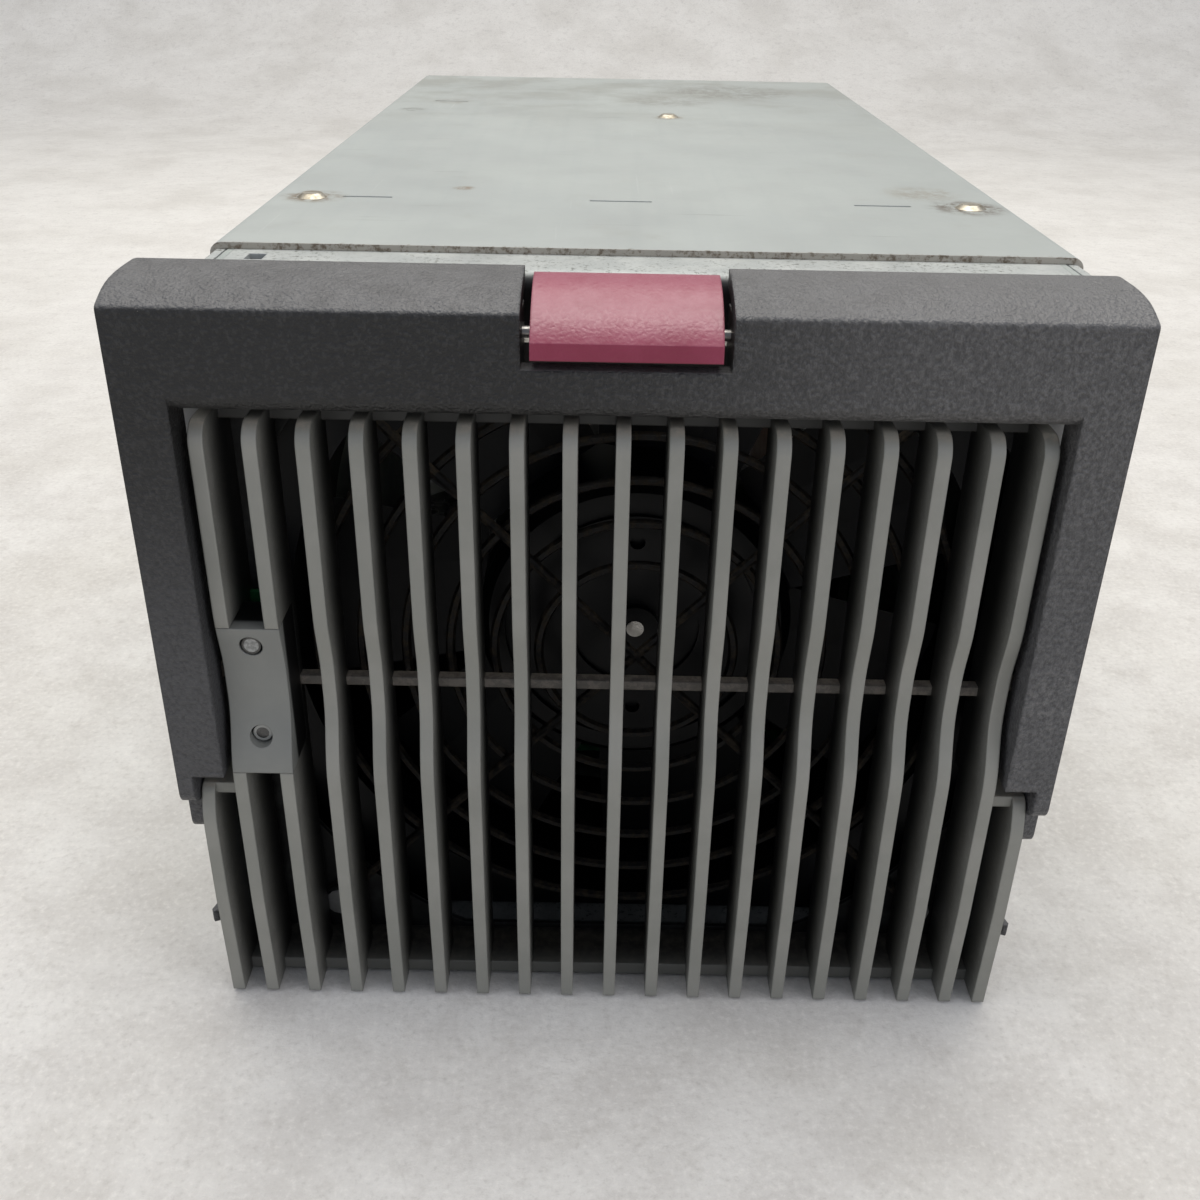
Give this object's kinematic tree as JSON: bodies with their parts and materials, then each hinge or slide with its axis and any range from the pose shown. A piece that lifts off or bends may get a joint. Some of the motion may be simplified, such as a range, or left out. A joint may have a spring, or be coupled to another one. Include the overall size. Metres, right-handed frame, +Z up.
{
  "type": "hot swap server power supply",
  "caption": "Plug-in server power supply in a steel case: finned front grille over a fan, swing-out handle with a release latch, blind mating connector at the rear.",
  "frame": {"origin": "bottom centre of the closed steel case", "axes": "+Z up, +Y to the rear with the connector, the grille and handle look to -Y, +X to the right seen from the front"},
  "size_m": [0.1398, 0.2842, 0.1272],
  "materials": {
    "lid_steel": "galvanised, spangled",
    "case_steel": "galvanised",
    "collar_steel": "galvanised",
    "rivet_steel": "bright",
    "screw_steel": "zinc plated",
    "grille_plastic": "moulded, dusty",
    "block_plastic": "moulded",
    "lens_plastic": "clear moulded",
    "handle_plastic": "fine textured",
    "latch_plastic": "moulded burgundy",
    "pin_steel": "ground",
    "spring_steel": "spring wire",
    "guard_steel": "plated wire",
    "fan_plastic": "moulded black",
    "sleeve_rubber": "moulded",
    "bearing_steel": "ground",
    "stator_steel": "stamped stack",
    "magnet_ferrite": "sintered",
    "board_laminate": "green laminate",
    "led_resin": "clear resin",
    "standoff_brass": "turned",
    "sink_aluminium": "extruded",
    "package_epoxy": "moulded epoxy",
    "core_ferrite": "sintered",
    "winding_tape": "yellow polyester tape",
    "choke_wire": "enamelled copper wire",
    "capacitor_sleeve": "shrunk sleeve",
    "case_resin": "moulded case",
    "fuse_ceramic": "ceramic tube in a clip",
    "connector_plastic": "glass filled moulding",
    "contact_alloy": "plated"
  },
  "bodies": {
    "case": {"top_cover": "lid_steel", "chassis_tray": "case_steel", "rear_panel": "case_steel", "front_frame": "collar_steel", "cover_rivets": "rivet_steel", "frame_rivets": "rivet_steel", "cover_screws": "screw_steel", "fan_screws": "screw_steel", "board_screws": "screw_steel", "connector_screws": "screw_steel", "front_grille": "grille_plastic", "indicator_block": "block_plastic", "power_lens": "lens_plastic", "fault_lens": "lens_plastic", "lever_pins": "pin_steel", "fan_guard": "guard_steel", "fan_frame": "fan_plastic", "fan_isolators": "sleeve_rubber", "fan_bearings": "bearing_steel", "fan_stator": "stator_steel", "main_board": "board_laminate", "control_board": "board_laminate", "fan_board": "board_laminate", "indicator_board": "board_laminate", "indicator_leds": "led_resin", "board_standoffs": "standoff_brass", "primary_heatsink": "sink_aluminium", "secondary_heatsink": "sink_aluminium", "primary_transistors": "package_epoxy", "secondary_rectifiers": "package_epoxy", "bridge_rectifier": "package_epoxy", "transformer_core": "core_ferrite", "transformer_winding": "winding_tape", "boost_choke": "choke_wire", "output_choke": "choke_wire", "line_choke": "choke_wire", "bulk_capacitors": "capacitor_sleeve", "output_capacitors": "capacitor_sleeve", "film_capacitors": "case_resin", "inrush_relay": "case_resin", "fuse": "fuse_ceramic", "rear_connector": "connector_plastic", "power_blades": "contact_alloy", "signal_pins": "contact_alloy"},
    "handle": {"lever_handle": "handle_plastic", "latch_pin": "pin_steel", "latch_spring": "spring_steel"},
    "latch": {"release_latch": "latch_plastic"},
    "rotor": {"fan_rotor": "fan_plastic", "fan_shaft": "pin_steel", "fan_magnet": "magnet_ferrite"}
  },
  "joints": [
    {"name": "handle_swing", "type": "hinge", "parent": "case", "child": "handle", "pos_m": [-0.0032, -0.134, 0.041], "axis": [1, 0, 0], "range_deg": [0, 70]},
    {"name": "latch_turn", "type": "hinge", "parent": "handle", "child": "latch", "pos_m": [-0.0032, -0.138, 0.12], "axis": [-1, 0, 0], "range_deg": [0, 12], "stiffness_Nm_per_rad": 0.05, "springref_deg": -5.73},
    {"name": "fan_spin", "type": "hinge", "parent": "case", "child": "rotor", "pos_m": [0, -0.104, 0.06325], "axis": [0, 1, 0], "continuous": true}
  ]
}
